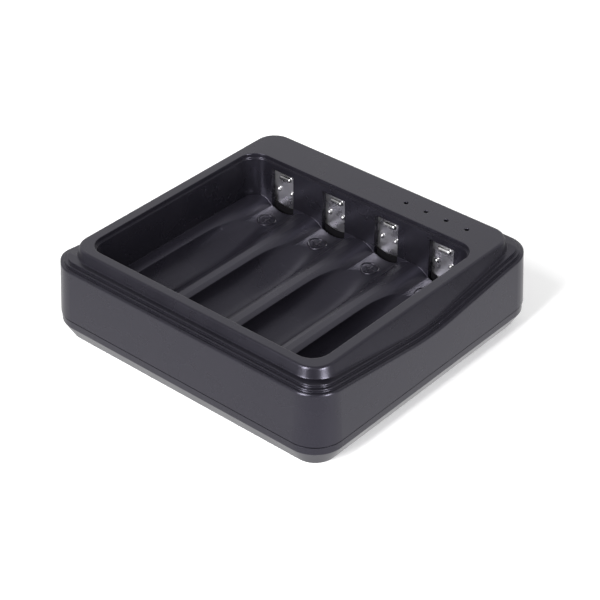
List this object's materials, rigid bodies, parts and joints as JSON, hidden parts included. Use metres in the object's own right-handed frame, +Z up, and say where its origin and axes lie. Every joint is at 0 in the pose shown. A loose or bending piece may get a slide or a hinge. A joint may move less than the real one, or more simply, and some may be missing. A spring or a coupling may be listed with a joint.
{
  "type": "battery charger",
  "caption": "Flat black charger for AA and AAA cells: a well of side-by-side stepped bays with recessed positive contacts, sprung negative contacts and indicator holes.",
  "frame": {"origin": "centre of the underside, on the surface that the charger stands on", "axes": "+X across the bays, +Y to the positive contacts and the power inlet, +Z up out of the well"},
  "size_m": [0.0784, 0.0744, 0.022],
  "materials": {
    "case_plastic": "satin black ABS",
    "contact_nickel": "bright nickel plate",
    "socket_steel": "tinned steel",
    "socket_insert": "black insert",
    "board": "green solder resist",
    "lamp": "clear epoxy",
    "chip_epoxy": "moulded epoxy",
    "ferrite": "sintered ferrite",
    "capacitor_sleeve": "shrunk sleeve",
    "screw_steel": "zinc plate"
  },
  "bodies": {
    "case": {"top_cover": "case_plastic", "battery_tray": "case_plastic", "base_cover": "case_plastic", "positive_contact_1": "contact_nickel", "positive_contact_2": "contact_nickel", "positive_contact_3": "contact_nickel", "positive_contact_4": "contact_nickel", "usb_socket_shell": "socket_steel", "usb_socket_tongue": "socket_insert", "circuit_board": "board", "indicator_led_1": "lamp", "indicator_led_2": "lamp", "indicator_led_3": "lamp", "indicator_led_4": "lamp", "charge_controller": "chip_epoxy", "power_transistors": "chip_epoxy", "chip_resistors": "chip_epoxy", "inductor": "ferrite", "capacitor": "capacitor_sleeve", "housing_screws": "screw_steel"},
    "aa_leaf_1": {"aa_spring_contact_1": "contact_nickel"},
    "aaa_leaf_1": {"aaa_spring_contact_1": "contact_nickel"},
    "aa_leaf_2": {"aa_spring_contact_2": "contact_nickel"},
    "aaa_leaf_2": {"aaa_spring_contact_2": "contact_nickel"},
    "aa_leaf_3": {"aa_spring_contact_3": "contact_nickel"},
    "aaa_leaf_3": {"aaa_spring_contact_3": "contact_nickel"},
    "aa_leaf_4": {"aa_spring_contact_4": "contact_nickel"},
    "aaa_leaf_4": {"aaa_spring_contact_4": "contact_nickel"}
  },
  "joints": [
    {"name": "aa_leaf_bend_1", "type": "hinge", "parent": "case", "child": "aa_leaf_1", "pos_m": [-0.0231, -0.0282, 0.0035], "axis": [1, 0, 0], "range_deg": [0, 8], "stiffness_Nm_per_rad": 0.2},
    {"name": "aaa_leaf_bend_1", "type": "hinge", "parent": "case", "child": "aaa_leaf_1", "pos_m": [-0.0231, -0.0216, 0.0035], "axis": [1, 0, 0], "range_deg": [0, 12], "stiffness_Nm_per_rad": 0.06},
    {"name": "aa_leaf_bend_2", "type": "hinge", "parent": "case", "child": "aa_leaf_2", "pos_m": [-0.0077, -0.0282, 0.0035], "axis": [1, 0, 0], "range_deg": [0, 8], "stiffness_Nm_per_rad": 0.2},
    {"name": "aaa_leaf_bend_2", "type": "hinge", "parent": "case", "child": "aaa_leaf_2", "pos_m": [-0.0077, -0.0216, 0.0035], "axis": [1, 0, 0], "range_deg": [0, 12], "stiffness_Nm_per_rad": 0.06},
    {"name": "aa_leaf_bend_3", "type": "hinge", "parent": "case", "child": "aa_leaf_3", "pos_m": [0.0077, -0.0282, 0.0035], "axis": [1, 0, 0], "range_deg": [0, 8], "stiffness_Nm_per_rad": 0.2},
    {"name": "aaa_leaf_bend_3", "type": "hinge", "parent": "case", "child": "aaa_leaf_3", "pos_m": [0.0077, -0.0216, 0.0035], "axis": [1, 0, 0], "range_deg": [0, 12], "stiffness_Nm_per_rad": 0.06},
    {"name": "aa_leaf_bend_4", "type": "hinge", "parent": "case", "child": "aa_leaf_4", "pos_m": [0.0231, -0.0282, 0.0035], "axis": [1, 0, 0], "range_deg": [0, 8], "stiffness_Nm_per_rad": 0.2},
    {"name": "aaa_leaf_bend_4", "type": "hinge", "parent": "case", "child": "aaa_leaf_4", "pos_m": [0.0231, -0.0216, 0.0035], "axis": [1, 0, 0], "range_deg": [0, 12], "stiffness_Nm_per_rad": 0.06}
  ]
}
